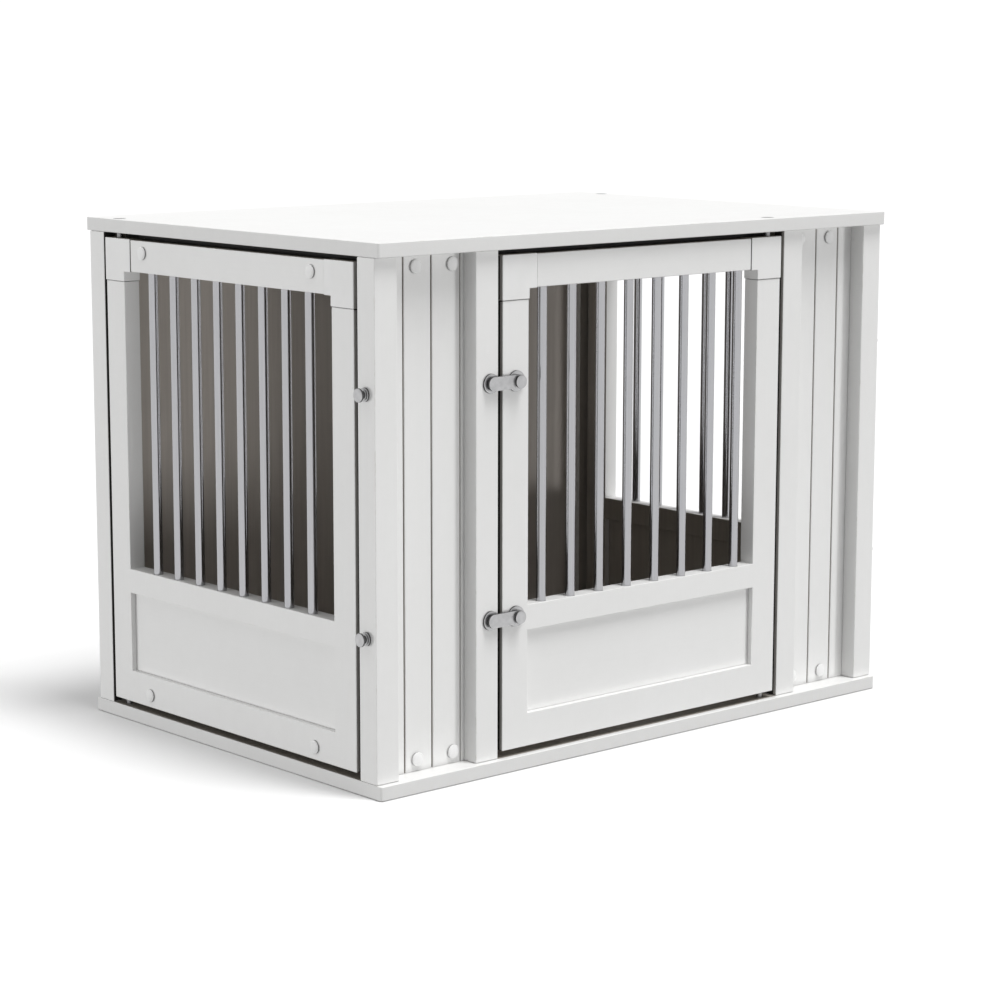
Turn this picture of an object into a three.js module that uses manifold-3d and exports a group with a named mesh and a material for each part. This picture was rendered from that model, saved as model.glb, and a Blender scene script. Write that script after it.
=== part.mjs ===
// Dog crate end table.
// A white box of boards, 880 x 605 x 660 mm, with three barred doors.
// Millimetres, +Z up. Origin: middle of the underside of the base board.
// The long front faces -Y, the two short sides face -X (left) and +X (right).
import * as THREE from 'three';
import { mergeVertices } from 'three/addons/utils/BufferGeometryUtils.js';
import Module from 'manifold-3d';

const wasm = await Module();
wasm.setup();

// ---------------------------------------------------------------- dimensions
const GAP = 0.3;              // clearance between touching pieces

const WIDTH = 880;            // overall, along X
const DEPTH = 605;            // overall, along Y
const HEIGHT = 660;           // overall, along Z
const BOARD_T = 17.5;         // thickness of the tabletop and the base board
const OVERHANG = 8;           // boards stand out in front of and behind the body
const BOARD_CORNER_R = 3;     // rounded upright corners of both boards

const FACE_X = WIDTH / 2;                 // outer plane of the side doors
const FACE_Y = DEPTH / 2 - OVERHANG;      // outer plane of the front and back
const BODY_Z0 = BOARD_T;
const BODY_Z1 = HEIGHT - BOARD_T;

const POST_X = 34;            // corner post section
const POST_Y = 32;
const JAMB_IN = 249.5;        // upright beside the front door, inner edge
const JAMB_OUT = 285;         // and outer edge
const RECESS = 22;            // the grooved flank board lies this far back
const FLANK_T = 10;
const GROOVES_X = [379, 336, 291];
const GROOVE_W = [3, 3, 2];
const GROOVE_D = [2.6, 2.6, 1.2];
const BACK_T = 15;
const BACK_INSET = 4;

// door stop: one moulding under the tabletop, round three sides, that the
// doors' top edges close against
const STOP_Z0 = 627;
const STOP_W = 24.6;          // its face lies this far behind the doors' outer faces
const STOP_FRONT_Y = -250.2;  // its inner sides
const STOP_SIDE_X = 394;
const STOP_BACK_W = 33;       // beside each hinge it steps back to let the door's corner turn

// doors, written in each door's own frame: u to the right as seen from
// outside, w inwards from the outer face, z up
const DOOR_T = 23;
const DOOR_Z0 = 26;
const DOOR_Z1 = 635;
const RAIL_TOP_Z0 = 594.4;
const SILL_Z = 204.5;
const LOWER_Z1 = 172.5;
const LOWER_Z0 = 68;
const BLOCK_Z0 = 581;         // lower edge of the top corner blocks
const BLOCK_W = 55;           // corner block width
const BLOCK_PROUD = 1;        // blocks stand this much proud of the frame
const PANEL_W0 = 7;           // the lower panel lies this far back
const PANEL_T = 6;
const PANEL_LIP = 6;          // and runs this far into the frame's groove
const BAR_R = 6;
const BAR_W = 8.6;            // bar axis, behind the outer face
const BAR_LET_IN = 20;        // how far a bar goes into a rail
const STRIP_H = 6;            // tie strip let into the back of each rail
const PIVOT_W = DOOR_T / 2;
const PIVOT_IN_DOOR = 18;

const FRONT = { u0: -242.5, u1: 242.5, o0: -200.5, o1: 200, hinge: 229, pitch: 48.9, free: -1 };
const LEFT = { u0: -257, u1: 256, o0: -216.8, o1: 214.5, hinge: -242, pitch: 46.6, free: 1 };
const RIGHT = { u0: -256, u1: 257, o0: -214.5, o1: 216.8, hinge: 242, pitch: 46.6, free: -1, fused: true };
const BARS = 8;

// hardware
const PIN_R = 4;
const PIN_HEAD_R = 8.5;
const PIN_HEAD_T = 2.4;
const CAP_R = 8.5;            // domed screw caps
const CAP_H = 3.8;
const SHANK_R = 3;
const LATCH_Z = [483, 193];   // upper and lower latch height
const LATCH_PIVOT_X = -262;
const LATCH_KNOB_X = -221.5;
const FLANGE_T = 3;
const JAMB_FLANGE_R = 12;
const DOOR_FLANGE_R = 13;
const LINK_R = 8.5;           // half width of the swinging link
const LINK_OUT0 = 4.4;
const LINK_OUT1 = 8;
const HEAD_R = 8.3;
const HEAD_OUT = 11.5;        // knob heads reach this far out
const HEAD_T = 3.1;
const NECK_R = 4;
const KNOB_Y = -276.5;        // side knobs, on the front corner posts
const SIDE_FLANGE_R = 8.4;
const TONGUE_LEN = 27;
const TONGUE_W0 = 10;
const TONGUE_W1 = 13;
const TONGUE_H = 10;

// ---------------------------------------------------------------- finishes
const finish = (color, roughness, metalness = 0) =>
  new THREE.MeshStandardMaterial({ color, roughness, metalness, flatShading: true });
const WHITE = finish(0xf1f1ef, 0.5);
const WHITE_PLASTIC = finish(0xf3f3f2, 0.42);
const STEEL = finish(0xc2c4c6, 0.28, 1);
const SATIN_METAL = finish(0xa9abad, 0.42, 1);
const DARK_METAL = finish(0x8c8e90, 0.45, 1);
const BLACK = finish(0x1c1b1a, 0.8);

// ---------------------------------------------------------------- helpers
const box = (x0, x1, y0, y1, z0, z1) => {
  const g = new THREE.BoxGeometry(x1 - x0, y1 - y0, z1 - z0);
  g.translate((x0 + x1) / 2, (y0 + y1) / 2, (z0 + z1) / 2);
  return g;
};

// flat shape in (u, z), given thickness from w0 to w1 along +Y
const plate = (points, w0, w1, holes = []) => {
  const shape = new THREE.Shape(points.map(([u, z]) => new THREE.Vector2(u, z)));
  for (const h of holes) shape.holes.push(new THREE.Path(h.map(([u, z]) => new THREE.Vector2(u, z))));
  const g = new THREE.ExtrudeGeometry(shape, { depth: w1 - w0, bevelEnabled: false });
  g.rotateX(Math.PI / 2);
  g.translate(0, w1, 0);
  return g;
};

const rect = (u0, u1, z0, z1) => [[u0, z0], [u1, z0], [u1, z1], [u0, z1]];

// turned piece: profile of [radius, distance] pairs, turned about +Z
const turned = (profile, sides = 12) =>
  new THREE.LatheGeometry(profile.map(([r, t]) => new THREE.Vector2(r, t)), sides);

// stand a turned piece (axis +Y of the lathe) along a direction
const along = (g, axis) => {
  const q = new THREE.Quaternion().setFromUnitVectors(new THREE.Vector3(0, 1, 0), new THREE.Vector3(...axis));
  g.applyQuaternion(q);
  return g;
};

const rod = (r, from, to, sides = 10) => {
  const a = new THREE.Vector3(...from), b = new THREE.Vector3(...to);
  const d = b.clone().sub(a), len = d.length();
  const g = new THREE.CylinderGeometry(r, r, len, sides);
  g.translate(0, len / 2, 0);
  g.applyQuaternion(new THREE.Quaternion().setFromUnitVectors(new THREE.Vector3(0, 1, 0), d.normalize()));
  g.translate(a.x, a.y, a.z);
  return g;
};

// drilled hole: its flats, not its corners, lie at radius r
const hole = (r, from, to, sides = 8) => rod(r / Math.cos(Math.PI / sides), from, to, sides);

const solid = (geometry) => {
  const g = geometry.clone();
  g.deleteAttribute('normal');
  g.deleteAttribute('uv');
  const m = mergeVertices(g, 1e-4);
  const tri = [];
  const idx = m.index.array;
  for (let i = 0; i < idx.length; i += 3) {
    const [a, b, c] = [idx[i], idx[i + 1], idx[i + 2]];
    if (a !== b && b !== c && c !== a) tri.push(a, b, c);
  }
  return new wasm.Manifold(new wasm.Mesh({
    numProp: 3,
    vertProperties: new Float32Array(m.attributes.position.array),
    triVerts: new Uint32Array(tri),
  }));
};

const toGeometry = (manifold) => {
  const mesh = manifold.getMesh();
  const g = new THREE.BufferGeometry();
  g.setAttribute('position', new THREE.BufferAttribute(new Float32Array(mesh.vertProperties), 3));
  g.setIndex(new THREE.BufferAttribute(new Uint32Array(mesh.triVerts), 1));
  g.computeVertexNormals();
  return g;
};

const cut = (base, ...tools) => {
  let m = solid(base);
  for (const t of tools) m = m.subtract(solid(t));
  return toGeometry(m);
};

const join = (base, ...others) => {
  let m = solid(base);
  for (const o of others) m = m.add(solid(o));
  return toGeometry(m);
};

const crate = new THREE.Group();
const put = (group, name, geometry, material) => {
  const mesh = new THREE.Mesh(geometry, material);
  mesh.name = name;
  group.add(mesh);
  return mesh;
};

// ---------------------------------------------------------------- pivots
// [name, x, y] of each door's upright pivot axis
const PIVOTS = [
  ['front_door', FRONT.hinge, -FACE_Y + PIVOT_W],
  ['left_door', -FACE_X + PIVOT_W, -LEFT.hinge],
  ['right_door', FACE_X - PIVOT_W, RIGHT.hinge],
];

// ---------------------------------------------------------------- boards
const roundedBoard = (z0, z1) => {
  const x = WIDTH / 2, y = DEPTH / 2, r = BOARD_CORNER_R;
  const s = new THREE.Shape();
  s.moveTo(-x + r, -y);
  s.lineTo(x - r, -y);
  s.absarc(x - r, -y + r, r, -Math.PI / 2, 0);
  s.lineTo(x, y - r);
  s.absarc(x - r, y - r, r, 0, Math.PI / 2);
  s.lineTo(-x + r, y);
  s.absarc(-x + r, y - r, r, Math.PI / 2, Math.PI);
  s.lineTo(-x, -y + r);
  s.absarc(-x + r, -y + r, r, Math.PI, Math.PI * 1.5);
  const g = new THREE.ExtrudeGeometry(s, { depth: z1 - z0, bevelEnabled: false, curveSegments: 5 });
  g.translate(0, 0, z0);
  return g;
};

const headPocket = (x, y, z0, z1) => hole(PIN_HEAD_R + GAP, [x, y, z0], [x, y, z1], 24);
const pinHole = (x, y, z0, z1) => hole(PIN_R + GAP, [x, y, z0], [x, y, z1]);

put(crate, 'top_panel', cut(
  roundedBoard(HEIGHT - BOARD_T, HEIGHT),
  ...PIVOTS.flatMap(([, x, y]) => [
    pinHole(x, y, BODY_Z1 - 1, HEIGHT + 1),
    headPocket(x, y, HEIGHT - PIN_HEAD_T - GAP, HEIGHT + 1),
  ]),
), WHITE);

put(crate, 'base_panel', cut(
  roundedBoard(0, BOARD_T),
  ...PIVOTS.flatMap(([, x, y]) => [
    pinHole(x, y, -1, BODY_Z0 + 1),
    headPocket(x, y, -1, PIN_HEAD_T + GAP),
  ]),
), WHITE);

// pivot pins: a flat head let into the board, the pin running into the door
const PIN_IN_BOARD = 0.1;                               // head just below the board's face
const pinLength = HEIGHT - PIN_IN_BOARD - (DOOR_Z1 + 1.8 - PIVOT_IN_DOOR);
const pinProfile = (length) => [
  [0, 0], [PIN_HEAD_R - 0.5, 0], [PIN_HEAD_R, 0.5], [PIN_HEAD_R, PIN_HEAD_T],
  [PIN_R, PIN_HEAD_T], [PIN_R, length - 0.6], [PIN_R - 0.6, length], [0, length],
];
for (const [door, x, y] of PIVOTS) {
  const upper = along(turned(pinProfile(pinLength), 16), [0, 0, -1]);
  upper.translate(x, y, HEIGHT - PIN_IN_BOARD);
  put(crate, `${door}_pivot_upper`, toGeometry(solid(upper)), DARK_METAL);

  const lower = along(turned(pinProfile(DOOR_Z0 + PIVOT_IN_DOOR - 1 - PIN_IN_BOARD), 16), [0, 0, 1]);
  lower.translate(x, y, PIN_IN_BOARD);
  put(crate, `${door}_pivot_lower`, toGeometry(solid(lower)), DARK_METAL);
}

// ---------------------------------------------------------------- uprights
const Z0 = BODY_Z0 + GAP, Z1 = BODY_Z1 - GAP;
for (const [side, s] of [['left', -1], ['right', 1]]) {
  const xo = s * FACE_X, xi = s * (FACE_X - POST_X);
  const [a, b] = [Math.min(xo, xi), Math.max(xo, xi)];
  const post = box(a, b, -FACE_Y, -FACE_Y + POST_Y, Z0, Z1);
  // each side knob's spindle hole, and the slot its tongue swings in
  const tools = LATCH_Z.flatMap((z) => {
    const t0 = s * (FACE_X - TONGUE_W0 + 0.7), t1 = s * (FACE_X - TONGUE_W1 - 0.7);
    return [
      hole(SHANK_R + GAP, [s * (FACE_X + 1), KNOB_Y, z], [s * (FACE_X - TONGUE_W1 - 3), KNOB_Y, z]),
      box(Math.min(t0, t1), Math.max(t0, t1), KNOB_Y - TONGUE_H / 2 - 2.6, -FACE_Y + POST_Y + 1,
        z - TONGUE_H / 2 - 2.6, z + TONGUE_LEN + 2),
    ];
  });
  put(crate, `corner_post_front_${side}`, cut(post, ...tools), WHITE);
  put(crate, `corner_post_rear_${side}`, box(a, b, FACE_Y - POST_Y, FACE_Y, Z0, Z1), WHITE);

  // upright beside the front door
  const [j0, j1] = s < 0 ? [-JAMB_OUT, -JAMB_IN] : [JAMB_IN, JAMB_OUT];
  const jamb = box(j0, j1, -FACE_Y, -FACE_Y + POST_Y, Z0, Z1);
  put(crate, `door_jamb_${side}`, s < 0
    ? cut(jamb, ...LATCH_Z.map((z) =>
      hole(SHANK_R + GAP, [LATCH_PIVOT_X, -FACE_Y - 1, z], [LATCH_PIVOT_X, -FACE_Y + 14, z])))
    : jamb, WHITE);

  // grooved flank board between the corner post and the jamb
  const y0 = -FACE_Y + RECESS, y1 = y0 + FLANK_T;
  const f0 = JAMB_OUT + GAP, f1 = FACE_X - POST_X - GAP;
  const outline = [[f0, y1], [f0, y0]];
  for (let i = GROOVES_X.length - 1; i >= 0; i--) {
    const g = GROOVES_X[i], w = GROOVE_W[i] / 2, d = GROOVE_D[i];
    outline.push([g - w, y0], [g - w * 0.3, y0 + d], [g + w * 0.3, y0 + d], [g + w, y0]);
  }
  outline.push([f1, y0], [f1, y1]);
  const pts = outline.map(([x, y]) => new THREE.Vector2(s * x, y));
  if (s < 0) pts.reverse();
  const board = new THREE.ExtrudeGeometry(new THREE.Shape(pts), { depth: Z1 - Z0, bevelEnabled: false });
  board.translate(0, 0, Z0);
  const bolts = [];
  for (const [level, z] of [['upper', 627.5], ['lower', 32.5]]) {
    for (const [place, x] of [['outer', 360.5], ['inner', 304]]) bolts.push([level, place, s * x, z]);
  }
  put(crate, `flank_panel_${side}`, cut(board, ...bolts.map(([, , x, z]) =>
    hole(SHANK_R + GAP, [x, y0 - 1, z], [x, y1 + 1, z]))), WHITE);
  for (const [level, place, x, z] of bolts) {
    const cap = along(turned([
      [0, -(FLANK_T - 0.5)], [SHANK_R, -(FLANK_T - 0.5)], [SHANK_R, GAP], [CAP_R, GAP],
      [CAP_R, 1.4], [CAP_R * 0.72, 3.2], [0, CAP_H],
    ]), [0, -1, 0]);
    cap.translate(x, y0, z);
    put(crate, `flank_bolt_${side}_${level}_${place}`, toGeometry(solid(cap)), WHITE_PLASTIC);
  }
}

// door stop
{
  const f = -FACE_Y + STOP_W, b = -FACE_Y + POST_Y + GAP, e = FACE_Y - POST_Y - GAP;
  const x = FACE_X - STOP_W, xb = FACE_X - STOP_BACK_W, j = JAMB_IN - GAP;
  const h = FRONT.hinge - 24, hs = RIGHT.hinge - 24;
  const plan = [
    [-x, b], [-j, b], [-j, f], [h, f], [h, b], [x, b], [x, hs], [xb, hs], [xb, e],
    [STOP_SIDE_X, e], [STOP_SIDE_X, STOP_FRONT_Y], [-STOP_SIDE_X, STOP_FRONT_Y], [-STOP_SIDE_X, e],
    [-xb, e], [-xb, hs], [-x, hs],
  ];
  const stop = new THREE.ExtrudeGeometry(new THREE.Shape(plan.map(([u, v]) => new THREE.Vector2(u, v))),
    { depth: Z1 - STOP_Z0, bevelEnabled: false });
  stop.translate(0, 0, STOP_Z0);
  put(crate, 'door_stop_strip', toGeometry(solid(stop)), BLACK);
}

put(crate, 'back_panel', box(-FACE_X + POST_X + GAP, FACE_X - POST_X - GAP,
  FACE_Y - BACK_INSET - BACK_T, FACE_Y - BACK_INSET, Z0, Z1), WHITE);

// ---------------------------------------------------------------- latches
LATCH_Z.forEach((z, i) => {
  const level = ['upper', 'lower'][i];
  // fixed stud on the jamb: flange, neck, and a spigot in the wood
  const stud = along(turned([
    [0, -12], [SHANK_R, -12], [SHANK_R, GAP], [JAMB_FLANGE_R, GAP],
    [JAMB_FLANGE_R, FLANGE_T - 0.7], [JAMB_FLANGE_R - 0.7, FLANGE_T],
    [NECK_R, FLANGE_T], [NECK_R, LINK_OUT1 - 1.6], [0, LINK_OUT1 - 1.6],
  ]), [0, -1, 0]);
  stud.translate(LATCH_PIVOT_X, -FACE_Y, z);
  put(crate, `latch_stud_${level}`, toGeometry(solid(stud)), SATIN_METAL);

  // swinging link: it lifts about the stud, its notch dropping over the knob
  const L = LATCH_KNOB_X - LATCH_PIVOT_X, n = NECK_R + 0.5, pts = [];
  const arc = (cx, a0, a1, steps) => {
    for (let k = 0; k <= steps; k++) {
      const a = a0 + (a1 - a0) * k / steps;
      pts.push([cx + LINK_R * Math.cos(a), LINK_R * Math.sin(a)]);
    }
  };
  arc(0, Math.PI / 2, Math.PI * 1.5, 12);
  pts.push([L - n - 1.6, -LINK_R], [L - n, 0]);
  for (let k = 1; k < 8; k++) {
    const a = Math.PI - Math.PI * k / 8;
    pts.push([L + n * Math.cos(a), n * Math.sin(a)]);
  }
  const exit = Math.asin(n / LINK_R);
  pts.push([L + n, 0]);
  arc(L, -Math.PI / 2 + exit, Math.PI / 2, 9);
  const link = plate(pts, -LINK_OUT1, -LINK_OUT0);
  const linkCut = cut(link, hole(NECK_R + GAP, [0, -LINK_OUT0 + 1, 0], [0, -LINK_OUT1 + 1.2, 0]));
  const mesh = put(crate, `latch_link_${level}`, linkCut, SATIN_METAL);
  mesh.position.set(LATCH_PIVOT_X, -FACE_Y, z);
});

// side knobs: flange, neck, head, and inside the post a spindle with a tongue
for (const [side, s] of [['left', -1], ['right', 1]]) {
  LATCH_Z.forEach((z, i) => {
    const level = ['upper', 'lower'][i];
    const body = along(turned([
      [0, -(TONGUE_W1 + 2)], [SHANK_R, -(TONGUE_W1 + 2)], [SHANK_R, GAP], [SIDE_FLANGE_R, GAP],
      [SIDE_FLANGE_R, 2.2], [SIDE_FLANGE_R - 0.6, 2.8], [NECK_R + 0.8, 2.8],
      [NECK_R + 0.8, HEAD_OUT - HEAD_T], [HEAD_R - 0.5, HEAD_OUT - HEAD_T], [HEAD_R, HEAD_OUT - HEAD_T + 0.5],
      [HEAD_R, HEAD_OUT - 0.7], [HEAD_R - 0.7, HEAD_OUT], [0, HEAD_OUT],
    ]), [s, 0, 0]);
    const t0 = -s * TONGUE_W0, t1 = -s * TONGUE_W1;
    const tongue = box(Math.min(t0, t1), Math.max(t0, t1), -TONGUE_H / 2, TONGUE_LEN, -TONGUE_H / 2, TONGUE_H / 2);
    const mesh = put(crate, `${side}_knob_${level}`, join(body, tongue), SATIN_METAL);
    mesh.position.set(s * FACE_X, KNOB_Y, z);
  });
}

// ---------------------------------------------------------------- doors
const buildDoor = (name, d, group, latch) => {
  const free = d.free > 0 ? d.u1 : d.u0;
  const blockA = d.u0 + BLOCK_W, blockB = d.u1 - BLOCK_W;   // block/rail joints
  const centre = (d.o0 + d.o1) / 2;
  const bars = Array.from({ length: BARS }, (_, i) => centre + (i - (BARS - 1) / 2) * d.pitch);
  const stripU = (BARS - 1) / 2 * d.pitch + 7;
  const lowStrip = SILL_Z - 15, topStrip = RAIL_TOP_Z0 + 12;

  // frame: two stiles, sill rail and bottom rail in one, open at the top
  const outline = [
    [d.u0, DOOR_Z0], [d.u1, DOOR_Z0], [d.u1, BLOCK_Z0 - GAP], [d.o1, BLOCK_Z0 - GAP],
    [d.o1, SILL_Z], [d.o0, SILL_Z], [d.o0, BLOCK_Z0 - GAP], [d.u0, BLOCK_Z0 - GAP],
  ];
  const frameTools = [
    box(d.o0 - PANEL_LIP - GAP, d.o1 + PANEL_LIP + GAP, PANEL_W0, PANEL_W0 + PANEL_T + 2 * GAP,
      LOWER_Z0 - PANEL_LIP - GAP, LOWER_Z1 + PANEL_LIP + GAP),
    ...bars.map((u) => hole(BAR_R + GAP, [u, BAR_W, SILL_Z + 1], [u, BAR_W, SILL_Z - BAR_LET_IN - GAP])),
    box(centre - stripU - GAP, centre + stripU + GAP, BAR_W + 3, DOOR_T + 1, lowStrip - GAP, lowStrip + STRIP_H + GAP),
    hole(PIN_R + GAP, [d.hinge, PIVOT_W, DOOR_Z0 - 1], [d.hinge, PIVOT_W, DOOR_Z0 + PIVOT_IN_DOOR]),
  ];
  if (latch === 'knobs') {
    for (const z of LATCH_Z) {
      frameTools.push(hole(SHANK_R + GAP, [LATCH_KNOB_X, -1, z], [LATCH_KNOB_X, 14, z]));
    }
  } else {
    for (const z of LATCH_Z) {
      const a = free - d.free * 9.5, b = free + d.free;
      frameTools.push(box(Math.min(a, b), Math.max(a, b), TONGUE_W0 - 0.7, TONGUE_W1 + 0.7,
        z - TONGUE_H / 2 - 1, z + TONGUE_LEN));
    }
    for (const u of [-175, 175]) {
      frameTools.push(hole(SHANK_R + GAP, [u, -1, 42], [u, 14, 42]));
    }
  }
  put(group, `${name}_frame`, cut(
    plate(outline, 0, DOOR_T, [rect(d.o0, d.o1, LOWER_Z0, LOWER_Z1)]), ...frameTools), WHITE);

  // top rail
  const railTools = [
    ...bars.map((u) => hole(BAR_R + GAP, [u, BAR_W, RAIL_TOP_Z0 - 1], [u, BAR_W, RAIL_TOP_Z0 + BAR_LET_IN + GAP])),
    box(centre - stripU - GAP, centre + stripU + GAP, BAR_W + 3, DOOR_T + 1, topStrip - GAP, topStrip + STRIP_H + GAP),
  ];
  if (latch !== 'knobs') {
    for (const u of [-175, 175]) railTools.push(hole(SHANK_R + GAP, [u, -1, 619.5], [u, 14, 619.5]));
  }
  const rail = cut(box(blockA + GAP, blockB - GAP, 0, DOOR_T, RAIL_TOP_Z0, DOOR_Z1), ...railTools);
  const railMesh = put(group, `${name}_top_rail`, rail, WHITE);

  // corner blocks that join the rail to the stiles
  const p = 0.8;
  for (const [e, o, joint, sgn] of [[d.u0, d.o0, blockA, -1], [d.u1, d.o1, blockB, 1]]) {
    const pts = [
      [e + sgn * p, BLOCK_Z0], [e + sgn * p, DOOR_Z1 + p], [joint, DOOR_Z1 + p],
      [joint, RAIL_TOP_Z0 - p], [o - sgn * p, RAIL_TOP_Z0 - p], [o - sgn * p, BLOCK_Z0],
    ];
    if (sgn < 0) pts.reverse();
    const hingeSide = Math.sign(d.hinge) === sgn;
    const g = plate(pts, -BLOCK_PROUD, DOOR_T + BLOCK_PROUD);
    const pinBore = hole(PIN_R + GAP, [d.hinge, PIVOT_W, DOOR_Z1 + 2], [d.hinge, PIVOT_W, DOOR_Z1 + 0.8 - PIVOT_IN_DOOR]);
    if (d.fused) {
      // on this door both blocks and the rail are one piece
      g.translate(-sgn * 2 * GAP, 0, 0);
      const keep = plate(pts, -BLOCK_PROUD, DOOR_T + BLOCK_PROUD);
      const whole = join(railMesh.geometry, g, keep);
      railMesh.geometry = hingeSide ? cut(whole, pinBore) : whole;
      continue;
    }
    put(group, `${name}_corner_${hingeSide ? 'hinge_side' : 'latch_side'}`, hingeSide
      ? cut(g, pinBore)
      : toGeometry(solid(g)), WHITE_PLASTIC);
  }

  // lower panel, held in the frame's groove
  put(group, `${name}_lower_panel`, box(d.o0 - PANEL_LIP, d.o1 + PANEL_LIP, PANEL_W0 + GAP, PANEL_W0 + GAP + PANEL_T,
    LOWER_Z0 - PANEL_LIP, LOWER_Z1 + PANEL_LIP), WHITE);

  // grille: eight bars on two flat tie strips let into the backs of the rails
  const strip = (z) => box(centre - stripU, centre + stripU, BAR_W + 3 + GAP, DOOR_T - 0.5, z, z + STRIP_H);
  put(group, `${name}_bars`, join(strip(lowStrip), strip(topStrip),
    ...bars.map((u) => rod(BAR_R, [u, BAR_W, SILL_Z - BAR_LET_IN], [u, BAR_W, RAIL_TOP_Z0 + BAR_LET_IN]))), STEEL);

  return { bars, centre };
};

const doorGroup = (angle, x, y) => {
  const g = new THREE.Group();
  g.rotation.z = angle;
  g.position.set(x, y, 0);
  crate.add(g);
  return g;
};
const frontDoor = doorGroup(0, 0, -FACE_Y);
const leftDoor = doorGroup(-Math.PI / 2, -FACE_X, 0);
const rightDoor = doorGroup(Math.PI / 2, FACE_X, 0);
buildDoor('front_door', FRONT, frontDoor, 'knobs');
buildDoor('left_door', LEFT, leftDoor, 'slots');
buildDoor('right_door', RIGHT, rightDoor, 'slots');

// knobs of the front door's latches, on its free stile
LATCH_Z.forEach((z, i) => {
  const knob = along(turned([
    [0, -12], [SHANK_R, -12], [SHANK_R, GAP], [DOOR_FLANGE_R, GAP],
    [DOOR_FLANGE_R, FLANGE_T - 0.7], [DOOR_FLANGE_R - 0.7, FLANGE_T], [NECK_R, FLANGE_T],
    [NECK_R, HEAD_OUT - HEAD_T], [HEAD_R, HEAD_OUT - HEAD_T], [HEAD_R, HEAD_OUT - 0.7],
    [HEAD_R - 0.7, HEAD_OUT], [0, HEAD_OUT],
  ]), [0, -1, 0]);
  knob.translate(LATCH_KNOB_X, 0, z);
  put(frontDoor, `front_door_latch_knob_${['upper', 'lower'][i]}`, toGeometry(solid(knob)), SATIN_METAL);
});

// domed caps on the side doors' rails
for (const [side, level, z] of [
  ['left', 'upper', 619.5], ['left', 'lower', 42], ['right', 'upper', 619.5], ['right', 'lower', 42],
]) {
  for (const [place, u] of side === 'left' ? [['rear', -175], ['front', 175]] : [['front', -175], ['rear', 175]]) {
    const cap = along(turned([
      [0, -12], [SHANK_R, -12], [SHANK_R, GAP], [CAP_R, GAP],
      [CAP_R, 1.4], [CAP_R * 0.72, 3.2], [0, CAP_H],
    ]), [0, -1, 0]);
    cap.translate(u, 0, z);
    put(side === 'left' ? leftDoor : rightDoor, `${side}_door_screw_${level}_${place}`,
      toGeometry(solid(cap)), WHITE_PLASTIC);
  }
}

export default crate;
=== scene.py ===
import math

import bmesh
import bpy
from mathutils import Matrix, Vector


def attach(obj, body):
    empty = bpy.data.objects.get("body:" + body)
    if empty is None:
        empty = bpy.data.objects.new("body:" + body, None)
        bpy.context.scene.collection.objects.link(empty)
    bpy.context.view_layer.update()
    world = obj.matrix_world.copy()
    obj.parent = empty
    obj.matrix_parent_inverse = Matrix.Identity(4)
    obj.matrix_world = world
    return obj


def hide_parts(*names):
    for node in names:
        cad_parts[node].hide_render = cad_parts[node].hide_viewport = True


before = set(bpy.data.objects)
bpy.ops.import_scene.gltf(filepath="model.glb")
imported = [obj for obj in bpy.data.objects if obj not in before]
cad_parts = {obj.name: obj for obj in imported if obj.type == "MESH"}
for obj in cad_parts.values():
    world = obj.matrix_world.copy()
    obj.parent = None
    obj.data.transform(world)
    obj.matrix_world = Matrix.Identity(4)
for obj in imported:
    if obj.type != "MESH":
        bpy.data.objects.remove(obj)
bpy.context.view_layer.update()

scene = bpy.context.scene

# ------------------------------------------------------------------ dimensions
# millimetres; u runs to the right as seen from outside a door, w inwards, z up
FACE_X, FACE_Y = 440.0, 294.5
HALF_DEPTH = 302.5
HEIGHT, BOARD_T = 660.0, 17.5
Z0, Z1 = 17.8, 642.2
POST_X, POST_Y = 34.0, 32.0
JAMB_IN, JAMB_OUT = 249.5, 285.0
RECESS, FLANK_T = 22.0, 10.0
GROOVES = [(291.0, 2.2, 2.6), (336.0, 3.2, 4.2), (379.0, 3.2, 4.2)]
DOOR_T, DOOR_Z0, DOOR_Z1 = 23.0, 26.0, 635.0
RAIL_TOP_Z0, SILL_Z, LOWER_Z1, LOWER_Z0 = 594.4, 204.5, 172.5, 68.0
BLOCK_Z0, BLOCK_W = 581.0, 55.0
BAR_R, BAR_W, LET_IN = 6.0, 8.6, 20.0
LATCH_Z = (("upper", 483.0), ("lower", 193.0))
PIVOT_X, KNOB_X, KNOB_Y = -262.0, -221.5, -276.5

DOORS = {
    "front": dict(u0=-242.5, u1=242.5, o0=-200.5, o1=200.0, hinge=229.0, pitch=48.9, free=-1),
    "left": dict(u0=-257.0, u1=256.0, o0=-216.8, o1=214.5, hinge=-242.0, pitch=46.6, free=1),
    "right": dict(u0=-256.0, u1=257.0, o0=-214.5, o1=216.8, hinge=242.0, pitch=46.6, free=-1),
}
WORLD = Matrix.Identity(4)
FRONT = Matrix(((1, 0, 0, 0), (0, 1, 0, -FACE_Y), (0, 0, 1, 0), (0, 0, 0, 1)))
LEFT = Matrix(((0, 1, 0, -FACE_X), (-1, 0, 0, 0), (0, 0, 1, 0), (0, 0, 0, 1)))
RIGHT = Matrix(((0, -1, 0, FACE_X), (1, 0, 0, 0), (0, 0, 1, 0), (0, 0, 0, 1)))
PLACE = {"front": FRONT, "left": LEFT, "right": RIGHT}
PIVOTS = {
    "front_door": (229.0, -FACE_Y + 11.5),
    "left_door": (-FACE_X + 11.5, 242.0),
    "right_door": (FACE_X - 11.5, 242.0),
}

# ------------------------------------------------------------------ camera
cam = bpy.data.objects.new("camera", bpy.data.cameras.new("camera"))
scene.collection.objects.link(cam)
cam.location = (-2.4377, -2.77252, 0.90005)
cam.rotation_euler = (1.40306, -0.0016, -0.72375)
cam.data.sensor_width = 36.0
cam.data.lens = 99.831
cam.data.clip_start, cam.data.clip_end = 0.05, 200.0
scene.camera = cam


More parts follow.
